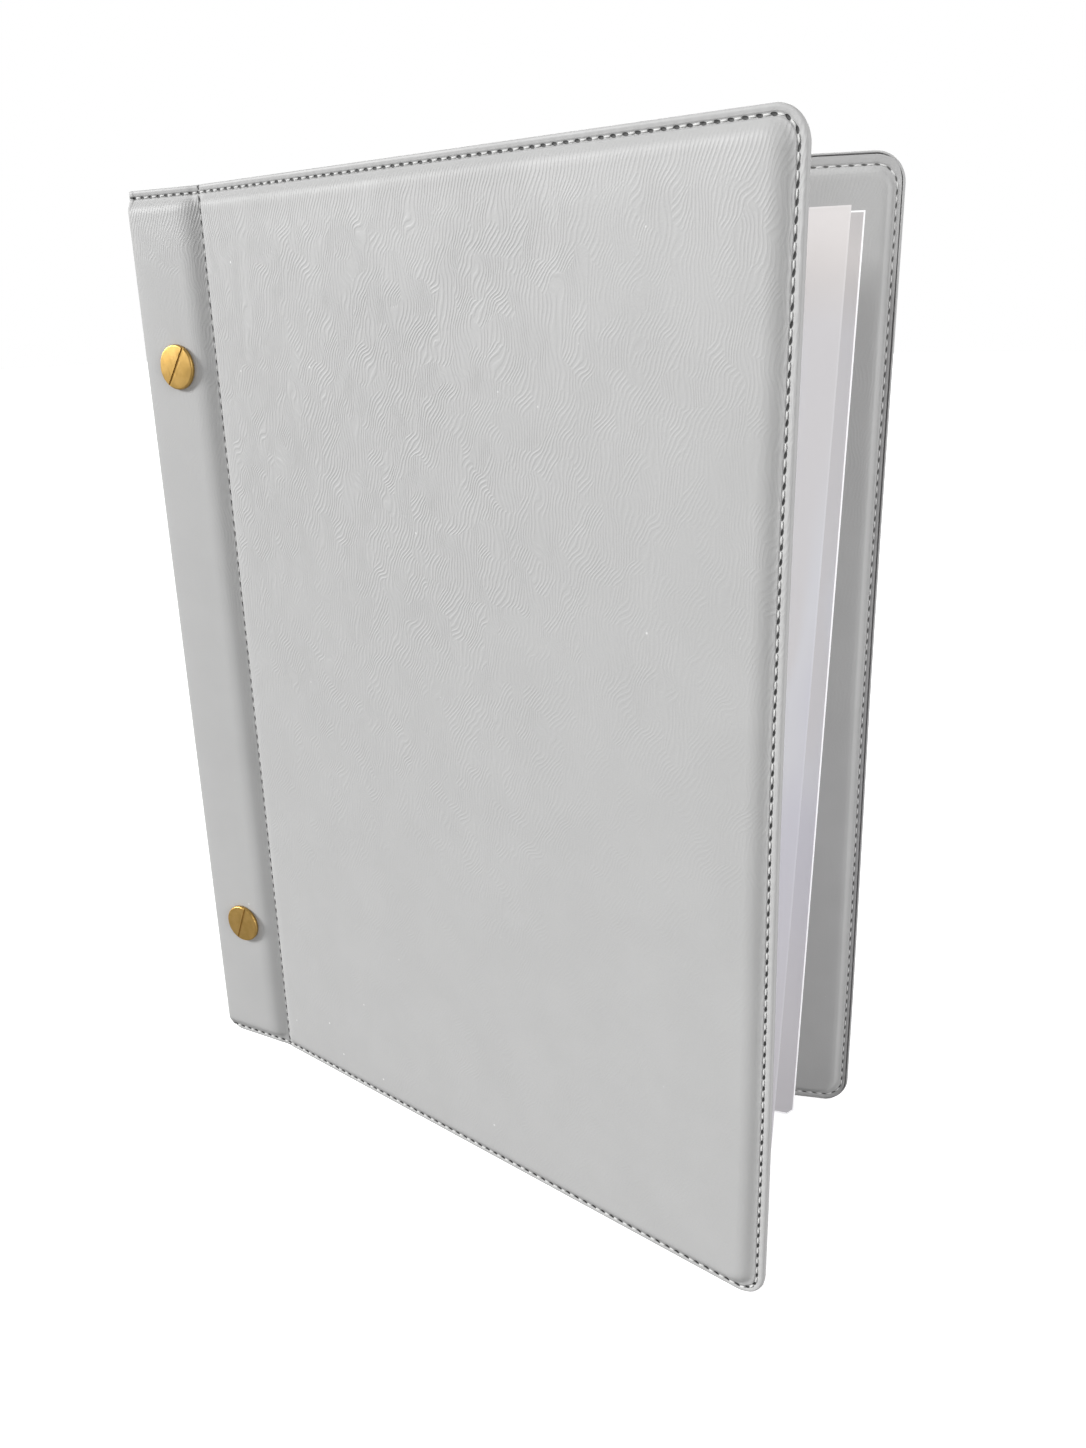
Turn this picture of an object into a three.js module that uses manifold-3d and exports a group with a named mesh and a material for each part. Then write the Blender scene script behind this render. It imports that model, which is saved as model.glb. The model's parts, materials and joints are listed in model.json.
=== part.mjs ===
// Screw-post display book. Two padded leather covers, each a binding strip and a panel
// that meet at a soft stitched groove, are clamped by two brass screw posts around a
// block of clear display pockets. It stands on its lower edges with both covers ajar.
// Millimetres, +Z up. The spine is at the left (-X) and the front cover faces -Y.
import * as THREE from "three";
import { mergeVertices } from "three/addons/utils/BufferGeometryUtils.js";
import Module from "manifold-3d";

const wasm = await Module();
wasm.setup();

// Cover outline
const coverHeight = 311;
const coverWidth = 241.5;
const freeCornerRadius = 8.5;
const stripTopCornerRadius = 1.5;
const stripBottomCornerRadius = 5.5;

// Layers of one cover, from the inner face outwards
const liningThickness = 0.7;
const liningRise = 0.9;
const boardThickness = 1.4;
const paddingThickness = 0.8;
const skinThickness = 0.8;
const layerGap = 0.3;

// Stitching
const edgeStitchInset = 1.8;
const freeStitchInset = 3;
const stitchToFoot = 1.6;
const grooveStitchX = 30.7;
const threadWidth = 0.6;
const threadHeight = 0.4;

// Raised, padded fields
const edgeSlope = 3.5;
const grooveSlope = 7;
const steepSlope = 1.6;
const liningSlope = 1.5;
const spineRadius = 1.9;
const wallGap = 0.9;

// Groove hinge
const hingeX = 29.3;
const hingeDepth = 1.4;
const hingeGap = 0.3;
const frontOpenDegrees = 10.5;
const backOpenDegrees = 15.8;

// Display pockets
const blockThickness = 1.6;
const blockSpineInset = 2;
const pocketBottom = 9.2;
const pocketHeight = 285.7;
const pocketReach = 201;
const pocketReachBottom = 194.7;
const leafThickness = 0.5;
const leafDegrees = [5.6, 10.4];
const leafOverlap = 2;

// Screw posts
const screwX = 15.6;
const screwEndInsets = [51.6, 54];
const headRadius = 7.5;
const headThickness = 1.6;
const headRounding = 0.5;
const slotWidth = 1.3;
const slotDepth = 0.7;
const slotDegrees = [7, 19];
const shankRadius = 1.6;
const shankEndGap = 1.6;
const boreGap = 0.3;
const barrelRadius = 2.5;
const barrelEndGap = 0.4;
const boreEndWall = 0.8;
const holeGap = 0.3;

// Levels above the inner face of a cover
const liningFlangeTop = liningRise + liningThickness;
const boardLow = liningThickness + layerGap;
const boardTop = boardLow + boardThickness;
const paddingLow = boardTop + layerGap;
const paddingTop = paddingLow + paddingThickness;
const skinUnderside = paddingTop + layerGap;
const coverThickness = skinUnderside + skinThickness;
const flangeLow = liningFlangeTop + layerGap;
const flangeTop = flangeLow + skinThickness;
const hingeLevel = coverThickness - hingeDepth;
const screwHeights = [screwEndInsets[0], coverHeight - screwEndInsets[1]];
const blockSpace = blockThickness + 2 * layerGap;
const bookThickness = 2 * coverThickness + blockSpace;

// Places in a cover
const edgeFoot = edgeStitchInset + stitchToFoot;
const freeFoot = freeStitchInset + stitchToFoot;
const stripEnd = hingeX - hingeGap / 2;
const panelStart = hingeX + hingeGap / 2;
const stripFoot = stripEnd - threadWidth;
const panelFoot = grooveStitchX + threadWidth + layerGap;
const beyond = 20;
const curveSteps = 4;
const roundSteps = 28;

const leather = new THREE.MeshStandardMaterial({ color: 0xc8c8c6, roughness: 0.5, metalness: 0 });
const liningLeather = new THREE.MeshStandardMaterial({ color: 0xa9a9a7, roughness: 0.55, metalness: 0 });
const greyboard = new THREE.MeshStandardMaterial({ color: 0x9c968c, roughness: 0.9, metalness: 0 });
const foam = new THREE.MeshStandardMaterial({ color: 0xeeeeea, roughness: 0.95, metalness: 0 });
const thread = new THREE.MeshStandardMaterial({ color: 0xd8d8d6, roughness: 0.7, metalness: 0 });
const brass = new THREE.MeshStandardMaterial({ color: 0xd7a546, roughness: 0.3, metalness: 1 });
const clearFilm = new THREE.MeshStandardMaterial({ color: 0xe2e2e8, roughness: 0.15, metalness: 0 });

const book = new THREE.Group();

// A closed mesh as a solid that can be joined and cut
function solid(geometry) {
  const bare = geometry.clone();
  bare.deleteAttribute("normal");
  bare.deleteAttribute("uv");
  const merged = mergeVertices(bare, 1e-4);
  return new wasm.Manifold(new wasm.Mesh({
    numProp: 3,
    vertProperties: new Float32Array(merged.attributes.position.array),
    triVerts: new Uint32Array(merged.index.array),
  }));
}

// A solid as a geometry again. Its parts lie as (x, height, level) and end up as (x, y, height).
// Levels grow towards -Y from y = innerFace when facing is -1, and towards +Y when it is 1.
function placed(part, facing, innerFace, pivot) {
  const mesh = part.getMesh();
  const points = mesh.vertProperties;
  const stride = mesh.numProp;
  const count = points.length / stride;
  const positions = new Float32Array(count * 3);
  for (let i = 0; i < count; i += 1) {
    positions[3 * i] = points[stride * i] - pivot.x;
    positions[3 * i + 1] = innerFace + facing * points[stride * i + 2] - pivot.y;
    positions[3 * i + 2] = points[stride * i + 1];
  }
  const corners = Uint32Array.from(mesh.triVerts);
  if (facing > 0) {
    for (let i = 0; i < corners.length; i += 3) {
      [corners[i + 1], corners[i + 2]] = [corners[i + 2], corners[i + 1]];
    }
  }
  const geometry = new THREE.BufferGeometry();
  geometry.setAttribute("position", new THREE.BufferAttribute(positions, 3));
  geometry.setIndex(new THREE.BufferAttribute(corners, 1));
  geometry.computeVertexNormals();
  return geometry;
}

// Rectangle with a radius for each corner, in the order low left, low right, high right, high left
function roundedShape(left, right, low, high, radii) {
  const [lowLeft, lowRight, highRight, highLeft] = radii;
  const shape = new THREE.Shape();
  shape.moveTo(left + lowLeft, low);
  shape.lineTo(right - lowRight, low);
  shape.absarc(right - lowRight, low + lowRight, lowRight, -Math.PI / 2, 0);
  shape.lineTo(right, high - highRight);
  shape.absarc(right - highRight, high - highRight, highRight, 0, Math.PI / 2);
  shape.lineTo(left + highLeft, high);
  shape.absarc(left + highLeft, high - highLeft, highLeft, Math.PI / 2, Math.PI);
  shape.lineTo(left, low + lowLeft);
  shape.absarc(left + lowLeft, low + lowLeft, lowLeft, Math.PI, 1.5 * Math.PI);
  return shape;
}

// Flat plate between two levels
function plate(shape, low, high) {
  const options = { depth: high - low, bevelEnabled: false, curveSegments: curveSteps };
  return solid(new THREE.ExtrudeGeometry(shape, options).translate(0, 0, low));
}

// Field with rounded shoulders between two levels, kept between keepLow and keepHigh
function field(shape, slope, rise, low, high, keepLow, keepHigh) {
  const options = {
    depth: high - low - 2 * rise,
    bevelEnabled: true,
    bevelSize: slope,
    bevelThickness: rise,
    bevelSegments: 3,
    curveSegments: curveSteps,
  };
  const whole = solid(new THREE.ExtrudeGeometry(shape, options).translate(0, 0, low + rise));
  const limits = roundedShape(-3 * beyond, coverWidth + beyond, -beyond, coverHeight + beyond, [1, 1, 1, 1]);
  return whole.intersect(plate(limits, keepLow, keepHigh));
}

// Section in the plane of x and level, run along the whole height
function run(section) {
  const options = { depth: coverHeight + 2 * beyond, bevelEnabled: false, curveSegments: curveSteps };
  const geometry = new THREE.ExtrudeGeometry(section, options);
  return solid(geometry.rotateX(Math.PI / 2).translate(0, coverHeight + beyond, 0));
}

// Round bar through the cover at a screw
function bar(radius, height, low, high) {
  const geometry = new THREE.CylinderGeometry(radius, radius, high - low, roundSteps);
  return solid(geometry.rotateX(Math.PI / 2).translate(screwX, height, (low + high) / 2));
}

// Plate or shell with the two screw holes taken out
function drilled(part) {
  const holes = screwHeights.map((height) => bar(barrelRadius + holeGap, height, -beyond, beyond));
  return holes.reduce((rest, hole) => rest.subtract(hole), part);
}

// Outlines of the strip and the panel, inset from the cover's edges
function stripShape(left, right, inset) {
  const lowRadius = Math.max(stripBottomCornerRadius - inset, 0.4);
  const highRadius = Math.max(stripTopCornerRadius - inset, 0.4);
  return roundedShape(left, right, inset, coverHeight - inset, [lowRadius, 0.05, 0.05, highRadius]);
}

function panelShape(left, inset, freeInset) {
  const radius = Math.max(freeCornerRadius - inset, 1);
  const right = coverWidth - freeInset;
  return roundedShape(left, right, inset, coverHeight - inset, [0.05, radius, radius, 0.05]);
}

// Section of the strip's padded field: round at the spine, a long slope into the groove
function stripSection(inset, foot, top, footLevel) {
  const section = new THREE.Shape();
  section.moveTo(inset, -beyond);
  section.lineTo(foot, -beyond);
  section.lineTo(foot, footLevel);
  const slopeTop = stripFoot - grooveSlope - inset;
  section.bezierCurveTo(foot - grooveSlope / 3, footLevel, slopeTop + grooveSlope / 3, top, slopeTop, top);
  section.lineTo(inset + spineRadius, top);
  section.absellipse(inset + spineRadius, top - spineRadius, spineRadius, spineRadius, Math.PI / 2, Math.PI);
  return section;
}

// Section of the panel's padded field, with its steep rise beside the groove
function panelSection(foot, top, footLevel) {
  const section = new THREE.Shape();
  section.moveTo(foot, -beyond);
  section.lineTo(coverWidth + beyond, -beyond);
  section.lineTo(coverWidth + beyond, top);
  section.lineTo(foot + steepSlope, top);
  section.absellipse(foot + steepSlope, footLevel, steepSlope, top - footLevel, Math.PI / 2, Math.PI);
  return section;
}

// Outer skin of the binding strip, folded round the spine edge
function stripSkin() {
  const rise = coverThickness - flangeTop;
  const reach = stripEnd + beyond;
  const outerField = field(
    stripShape(-2 * beyond, reach, edgeFoot + edgeSlope),
    edgeSlope, rise, coverThickness - 2 * rise - coverThickness, coverThickness, 0, beyond,
  ).intersect(run(stripSection(0, stripFoot, coverThickness, flangeTop)));
  const innerRise = skinUnderside - flangeLow;
  const innerField = field(
    stripShape(-2 * beyond, reach, edgeFoot + wallGap + edgeSlope),
    edgeSlope, innerRise, skinUnderside - 3 * beyond, skinUnderside, -beyond, beyond,
  ).intersect(run(stripSection(skinThickness, stripFoot - wallGap, skinUnderside, flangeLow)));
  const flange = plate(stripShape(0, stripEnd, 0), flangeLow, flangeTop);
  const below = plate(stripShape(skinThickness, reach, -beyond), -beyond, flangeLow);
  return drilled(flange.add(outerField).subtract(innerField).subtract(below));
}

// Lining of the strip, raised over the board and tucked in at the spine
function stripLining() {
  const left = skinThickness + layerGap;
  const flange = plate(stripShape(left, stripEnd, 0), liningRise, liningFlangeTop);
  const raised = field(
    stripShape(left + liningSlope, stripFoot - liningSlope, edgeFoot + liningSlope),
    liningSlope, liningRise, 0, coverThickness, 0, liningFlangeTop,
  );
  const hollow = field(
    stripShape(left + wallGap + liningSlope, stripFoot - wallGap - liningSlope, edgeFoot + wallGap + liningSlope),
    liningSlope, liningRise, liningThickness, coverThickness + liningThickness, 0, coverThickness,
  );
  return drilled(flange.add(raised).subtract(hollow));
}

// Stiff board and soft padding of the strip
function stripBoard() {
  const inset = edgeFoot + liningSlope + wallGap;
  const left = skinThickness + layerGap + liningSlope + wallGap;
  const right = stripFoot - grooveSlope / 2 - wallGap;
  return drilled(plate(stripShape(left, right, inset), boardLow, boardTop));
}

function stripPadding() {
  const left = skinThickness + layerGap + spineRadius;
  const right = stripFoot - grooveSlope - wallGap;
  const inset = edgeFoot + edgeSlope + layerGap;
  return drilled(plate(stripShape(left, right, inset), paddingLow, paddingTop));
}

// Outer skin of the panel
function panelSkin() {
  const rise = coverThickness - flangeTop;
  const outerField = field(
    panelShape(panelFoot - beyond, edgeFoot + edgeSlope, freeFoot + edgeSlope),
    edgeSlope, rise, coverThickness - 3 * beyond, coverThickness, flangeLow, beyond,
  ).intersect(run(panelSection(panelFoot, coverThickness, flangeTop)));
  const innerRise = skinUnderside - flangeLow;
  const innerField = field(
    panelShape(panelFoot - beyond, edgeFoot + wallGap + edgeSlope, freeFoot + wallGap + edgeSlope),
    edgeSlope, innerRise, skinUnderside - 3 * beyond, skinUnderside, -beyond, beyond,
  ).intersect(run(panelSection(panelFoot + skinThickness, skinUnderside, flangeLow)));
  const flange = plate(panelShape(panelStart, 0, 0), flangeLow, flangeTop);
  return flange.add(outerField).subtract(innerField);
}

// Lining of the panel, raised over the board
function panelLining() {
  const flange = plate(panelShape(panelStart, 0, 0), liningRise, liningFlangeTop);
  const raised = field(
    panelShape(panelFoot + liningSlope, edgeFoot + liningSlope, freeFoot + liningSlope),
    liningSlope, liningRise, 0, coverThickness, 0, liningFlangeTop,
  );
  const inset = wallGap + liningSlope;
  const hollow = field(
    panelShape(panelFoot + inset, edgeFoot + inset, freeFoot + inset),
    liningSlope, liningRise, liningThickness, coverThickness + liningThickness, 0, coverThickness,
  );
  return flange.add(raised).subtract(hollow);
}

function panelBoard() {
  const inset = liningSlope + wallGap;
  return plate(panelShape(panelFoot + inset, edgeFoot + inset, freeFoot + inset), boardLow, boardTop);
}

function panelPadding() {
  const inset = edgeSlope + layerGap;
  const left = panelFoot + steepSlope + wallGap;
  return plate(panelShape(left, edgeFoot + inset, freeFoot + inset), paddingLow, paddingTop);
}

// Thread that lies round the panel: along the free edges and down the groove
function panelThread(low) {
  const half = threadWidth / 2;
  const outer = panelShape(grooveStitchX - half, edgeStitchInset - half, freeStitchInset - half);
  const inner = panelShape(grooveStitchX + half, edgeStitchInset + half, freeStitchInset + half);
  return plate(outer, low, low + threadHeight).subtract(plate(inner, low - 1, low + threadHeight + 1));
}

// Thread across one end of the strip
function stripThread(low, height) {
  const half = threadWidth / 2;
  const left = skinThickness + spineRadius;
  const shape = roundedShape(left, stripEnd - layerGap, height - half, height + half, [0.1, 0.1, 0.1, 0.1]);
  return plate(shape, low, low + threadHeight);
}

// Slotted brass screw: head outside the front strip, shank along +Y into its post
function screw(height, slotAngle) {
  const shankEnd = bookThickness - boreEndWall - shankEndGap;
  const profile = [
    new THREE.Vector2(0, -headThickness),
    new THREE.Vector2(headRadius - headRounding, -headThickness),
    new THREE.Vector2(headRadius - 0.3 * headRounding, 0.3 * headRounding - headThickness),
    new THREE.Vector2(headRadius, headRounding - headThickness),
    new THREE.Vector2(headRadius, 0),
    new THREE.Vector2(shankRadius, 0),
    new THREE.Vector2(shankRadius, shankEnd),
    new THREE.Vector2(0, shankEnd),
  ];
  const turned = solid(new THREE.LatheGeometry(profile, roundSteps));
  const groove = new THREE.BoxGeometry(slotWidth, 2 * slotDepth, 2 * headRadius + beyond);
  groove.rotateY(THREE.MathUtils.degToRad(slotAngle)).translate(0, -headThickness, 0);
  return turned.subtract(solid(groove)).translate([screwX, 0, height]);
}

// Brass post: head outside the back strip, barrel with a blind bore open towards the screw
function post(height) {
  const boreRadius = shankRadius + boreGap;
  const boreEnd = bookThickness - boreEndWall;
  const profile = [
    new THREE.Vector2(0, boreEnd),
    new THREE.Vector2(boreRadius, boreEnd),
    new THREE.Vector2(boreRadius, barrelEndGap),
    new THREE.Vector2(barrelRadius, barrelEndGap),
    new THREE.Vector2(barrelRadius, bookThickness),
    new THREE.Vector2(headRadius, bookThickness),
    new THREE.Vector2(headRadius, bookThickness + headThickness - headRounding),
    new THREE.Vector2(headRadius - 0.3 * headRounding, bookThickness + headThickness - 0.3 * headRounding),
    new THREE.Vector2(headRadius - headRounding, bookThickness + headThickness),
    new THREE.Vector2(0, bookThickness + headThickness),
  ];
  return solid(new THREE.LatheGeometry(profile, roundSteps)).translate([screwX, 0, height]);
}

// Pocket block clamped at the spine, with its leaves fanned into two groups
function displayPockets() {
  const low = pocketBottom;
  const high = pocketBottom + pocketHeight;
  const block = roundedShape(blockSpineInset, hingeX + leafOverlap, low, high, [0.5, 0.5, 0.5, 0.5]);
  const bound = drilled(plate(block, -blockThickness / 2, blockThickness / 2));
  const leaf = new THREE.Shape();
  leaf.moveTo(-leafOverlap, low);
  leaf.lineTo(pocketReachBottom, low);
  leaf.lineTo(pocketReach, high);
  leaf.lineTo(-leafOverlap, high);
  const options = { depth: leafThickness, bevelEnabled: false };
  return leafDegrees.reduce((rest, degrees) => {
    const sheet = new THREE.ExtrudeGeometry(leaf, options).translate(0, 0, -leafThickness / 2);
    sheet.rotateY(-THREE.MathUtils.degToRad(degrees)).translate(grooveStitchX, 0, 0);
    return rest.add(solid(sheet));
  }, bound);
}

// A mesh of one cover, in the group that it moves with
function addPiece(group, name, part, material, facing, innerFace, pivot) {
  const mesh = new THREE.Mesh(placed(part, facing, innerFace, pivot), material);
  mesh.name = name;
  group.add(mesh);
}

const outerThread = flangeTop + layerGap;
const innerThread = liningRise - layerGap - threadHeight;
const rows = { bottom: edgeStitchInset, top: coverHeight - edgeStitchInset };
const covers = [
  { side: "front", facing: -1, innerFace: coverThickness, openDegrees: -frontOpenDegrees },
  { side: "back", facing: 1, innerFace: coverThickness + blockSpace, openDegrees: backOpenDegrees },
];

for (const { side, facing, innerFace, openDegrees } of covers) {
  const still = { x: 0, y: 0 };
  const strip = (name, part, material) => {
    addPiece(book, `${side}_strip_${name}`, part, material, facing, innerFace, still);
  };
  strip("skin", stripSkin(), leather);
  strip("padding", stripPadding(), foam);
  strip("board", stripBoard(), greyboard);
  strip("lining", stripLining(), liningLeather);
  for (const [end, height] of Object.entries(rows)) {
    strip(`needle_thread_${end}`, stripThread(outerThread, height), thread);
    strip(`bobbin_thread_${end}`, stripThread(innerThread, height), thread);
  }

  const pivot = { x: hingeX, y: innerFace + facing * hingeLevel };
  const panel = new THREE.Group();
  panel.position.set(pivot.x, pivot.y, 0);
  panel.rotation.z = THREE.MathUtils.degToRad(openDegrees);
  book.add(panel);
  const leafOf = (name, part, material) => {
    addPiece(panel, `${side}_panel_${name}`, part, material, facing, innerFace, pivot);
  };
  leafOf("skin", panelSkin(), leather);
  leafOf("padding", panelPadding(), foam);
  leafOf("board", panelBoard(), greyboard);
  leafOf("lining", panelLining(), liningLeather);
  leafOf("needle_thread", panelThread(outerThread), thread);
  leafOf("bobbin_thread", panelThread(innerThread), thread);
}

const middle = coverThickness + blockSpace / 2;
addPiece(book, "display_pockets", displayPockets(), clearFilm, 1, middle, { x: 0, y: 0 });

// Screws and posts are already in book axes
function addTurned(name, part) {
  const mesh = part.getMesh();
  const geometry = new THREE.BufferGeometry();
  geometry.setAttribute("position", new THREE.BufferAttribute(new Float32Array(mesh.vertProperties), 3));
  geometry.setIndex(new THREE.BufferAttribute(Uint32Array.from(mesh.triVerts), 1));
  geometry.computeVertexNormals();
  const piece = new THREE.Mesh(geometry, brass);
  piece.name = name;
  book.add(piece);
}

["lower", "upper"].forEach((name, i) => {
  addTurned(`${name}_screw`, screw(screwHeights[i], slotDegrees[i]));
  addTurned(`${name}_post`, post(screwHeights[i]));
});

// Origin under the middle of the standing book
const bounds = new THREE.Box3().setFromObject(book, true);
const centre = bounds.getCenter(new THREE.Vector3());
book.position.set(-centre.x, -centre.y, -bounds.min.z);
book.updateMatrixWorld(true);

export default book;
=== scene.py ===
import bpy
import bmesh
import json
import math
import numpy as np
from mathutils import Vector, Matrix


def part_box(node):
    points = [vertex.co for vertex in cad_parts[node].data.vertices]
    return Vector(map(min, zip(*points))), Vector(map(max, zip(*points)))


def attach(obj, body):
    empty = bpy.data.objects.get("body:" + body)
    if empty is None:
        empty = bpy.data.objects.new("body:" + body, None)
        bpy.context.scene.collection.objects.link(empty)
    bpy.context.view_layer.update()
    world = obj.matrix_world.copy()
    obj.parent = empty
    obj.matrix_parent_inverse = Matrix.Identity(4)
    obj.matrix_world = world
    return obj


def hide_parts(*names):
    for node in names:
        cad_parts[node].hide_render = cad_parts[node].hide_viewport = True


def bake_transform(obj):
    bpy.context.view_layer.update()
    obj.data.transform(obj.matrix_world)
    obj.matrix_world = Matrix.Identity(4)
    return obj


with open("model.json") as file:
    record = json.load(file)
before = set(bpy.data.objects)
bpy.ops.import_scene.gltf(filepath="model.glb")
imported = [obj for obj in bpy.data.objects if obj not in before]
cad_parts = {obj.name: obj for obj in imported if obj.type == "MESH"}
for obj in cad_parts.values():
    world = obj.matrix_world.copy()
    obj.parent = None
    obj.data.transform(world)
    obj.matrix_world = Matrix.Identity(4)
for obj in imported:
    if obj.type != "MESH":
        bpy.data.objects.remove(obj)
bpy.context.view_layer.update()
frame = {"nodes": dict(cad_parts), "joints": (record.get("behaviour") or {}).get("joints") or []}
print("frame loaded")

mm = 0.001  # the piece sizes below are in millimetres

# places that the frame gives
stripLow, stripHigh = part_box("front_strip_skin")
backStripLow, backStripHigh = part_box("back_strip_skin")
hinges = {j["name"]: j for j in frame["joints"]}
spineX = stripLow.x / mm
coverHeight = (stripHigh.z - stripLow.z) / mm

# sizes that both covers share, levels counted outwards from a cover's inner face
cover = {
    "width": 241.5,
    "cornerRadius": 8.5,
    "topSpineRadius": 1.5,
    "bottomSpineRadius": 5.5,
    "thickness": 4.6,
    "flangeLow": 0.9,
    "flangeTop": 2.7,
    "grooveStitchX": 30.7,
    "grooveFootX": 31.3,
    "stripFootX": 29.8,
    "webStart": 26.2,
    "webEnd": 30.0,
    "webLevel": 2.0,
}

covers = {
    "front": {
        "facing": -1, "innerFace": stripHigh.y / mm, "open": -10.5, "body": "front_cover",
        "hinge": hinges["front_cover_hinge"], "lowTrim": 0.0,
        "topStitch": 1.9, "lowStitch": 1.3, "freeStitch": 1.9,
    },
    "back": {
        "facing": 1, "innerFace": backStripLow.y / mm, "open": 15.8, "body": "back_cover",
        "hinge": hinges["back_cover_hinge"], "lowTrim": 0.4,
        "topStitch": 3.3, "lowStitch": 2.0, "freeStitch": 1.8,
    },
}

# how much the free edge draws in halfway up, and between which heights it does so and partly comes back
trim = {"most": 1.35, "from": 30, "over": 150, "back": 0.4, "backFrom": 200, "backOver": 111}


def smoothStep(t):
    t = np.clip(t, 0, 1)
    return t * t * (3 - 2 * t)


def roundRamp(distance, width):
    # quarter of an ellipse, from 0 at the foot to 1 at the full width
    t = np.clip(distance / width, 0, 1)
    return np.sqrt(1 - (1 - t) ** 2)


def insetDistance(x, h, low, high, free, radius):
    # how far a point lies inside the rounded outline with these insets, open at the spine side
    middle = (low + coverHeight - high) / 2
    qx = x - (cover["width"] - free - radius)
    qy = np.abs(h - middle) - ((coverHeight - high - low) / 2 - radius)
    outside = np.hypot(np.maximum(qx, 0), np.maximum(qy, 0))
    return radius - outside - np.minimum(np.maximum(qx, qy), 0)


def trimmed(side, x, h):
    # the free edge draws in a little halfway up, as thin covers do
    low = covers[side]["lowTrim"]
    grown = smoothStep((h - trim["from"]) / trim["over"])
    returned = trim["back"] * smoothStep((h - trim["backFrom"]) / trim["backOver"])
    drawn = low + (trim["most"] - low) * grown * (1 - returned)
    return x - x / cover["width"] * drawn


def toBook(side, x, h, level):
    # cover points (x from the spine, height, level) to the book's own axes, bent at the web
    place = covers[side]
    pivotX, pivotY = (c / mm for c in place["hinge"]["pos_m"][:2])
    bookX = spineX + trimmed(side, x, h)
    bookY = place["innerFace"] + place["facing"] * level
    share = smoothStep((x - cover["webStart"]) / (cover["webEnd"] - cover["webStart"]))
    angle = np.radians(place["open"]) * share
    dx, dy = bookX - pivotX, bookY - pivotY
    c, s = np.cos(angle), np.sin(angle)
    return np.stack([pivotX + dx * c - dy * s, pivotY + dx * s + dy * c, h], axis=-1) * mm


def addObject(name, bm):
    mesh = bpy.data.meshes.new(name)
    bm.to_mesh(mesh)
    bm.free()
    piece = bpy.data.objects.new(name, mesh)
    bpy.context.scene.collection.objects.link(piece)
    return piece


# stitches: the same seam path serves the marks in the leather and the thread itself
stitch = {
    "pitch": 3.5,
    "length": 1.6,
    "threadWidth": 0.46,
    "threadHeight": 0.46,
    "puckerDepth": 0.16,
    "puckerWidth": 0.8,
    "valleyDepth": 0.24,
    "valleyWidth": 1.1,
    "radius": 6.2,
    "start": 2.5,
    "grooveEnd": 2.0,
    "stripEnd": 27.7,
    "roundEnds": 1.12,
}


def seamPath(side):
    # places of the edge seam's free, upper and lower runs; lengths of a level run, a corner and the free run
    place = covers[side]
    radius = stitch["radius"]
    right, top = cover["width"] - place["freeStitch"], coverHeight - place["topStitch"]
    low = place["lowStitch"]
    straight = right - radius - stitch["start"]
    corner = radius * math.pi / 2
    rise = top - low - 2 * radius
    return right, top, low, straight, corner, rise


def groovePitches(top, low):
    # length and count of the groove seam's stitches
    length = top - low - 2 * stitch["grooveEnd"]
    count = round(length / stitch["pitch"])
    return length / count, count


def seamPoints(side):
    # centres and directions of the stitches, as (x, h, angle)
    right, top, low, straight, corner, rise = seamPath(side)
    radius = stitch["radius"]
    total = 2 * straight + 2 * corner + rise
    count = round(total / stitch["pitch"])
    runs = []
    for i in range(count):
        d = (i + 0.5) * total / count
        a, b = (d - straight) / radius, (d - straight - corner - rise) / radius
        if d < straight:
            runs.append((stitch["start"] + d, low, 0.0))
        elif d < straight + corner:
            runs.append((right - radius + radius * math.sin(a), low + radius - radius * math.cos(a), a))
        elif d < straight + corner + rise:
            runs.append((right, low + radius + d - straight - corner, math.pi / 2))
        elif d < straight + 2 * corner + rise:
            turnedX, turnedH = radius * math.cos(b), radius * math.sin(b)
            runs.append((right - radius + turnedX, top - radius + turnedH, math.pi / 2 + b))
        else:
            runs.append((right - radius - (d - straight - 2 * corner - rise), top, math.pi))
    groovePitch, grooveCount = groovePitches(top, low)
    for i in range(grooveCount):
        h = low + stitch["grooveEnd"] + (i + 0.5) * groovePitch
        runs.append((cover["grooveStitchX"], h, math.pi / 2))
    return np.array(runs)


def seamField(side, x, h):
    # place along the edge seam, counted in stitches, and distance inside it, then both for the groove seam
    right, top, low, straight, corner, rise = seamPath(side)
    radius = stitch["radius"]
    total = 2 * straight + 2 * corner + rise
    pitch = total / round(total / stitch["pitch"])
    turnX = right - radius
    runX = np.clip(x, 0, turnX)
    runH = np.clip(h, low + radius, top - radius)
    lowA = np.clip(np.arctan2(x - turnX, low + radius - h), 0, math.pi / 2)
    topA = np.clip(np.arctan2(h - top + radius, x - turnX), 0, math.pi / 2)
    lowX, lowH = turnX + radius * np.sin(lowA), low + radius - radius * np.cos(lowA)
    topX, topH = turnX + radius * np.cos(topA), top - radius + radius * np.sin(topA)
    choices = [
        (runX, low, (runX - stitch["start"]) / pitch),
        (lowX, lowH, (straight + radius * lowA) / pitch),
        (right, runH, (straight + corner + runH - low - radius) / pitch),
        (topX, topH, (straight + corner + rise + radius * topA) / pitch),
        (runX, top, (straight + 2 * corner + rise + turnX - runX) / pitch),
    ]
    phase, nearest = np.zeros_like(x), np.full_like(x, 1e6)
    for px, ph, count in choices:
        distance = np.hypot(x - px, h - ph)
        phase = np.where(distance < nearest, count, phase)
        nearest = np.minimum(distance, nearest)
    outside = insetDistance(x, h, low, coverHeight - top, cover["width"] - right, radius) < 0
    across = np.where(outside, -nearest, nearest)
    grooveStart = low + stitch["grooveEnd"]
    return phase, across, (h - grooveStart) / groovePitches(top, low)[0], x - cover["grooveStitchX"]


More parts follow.
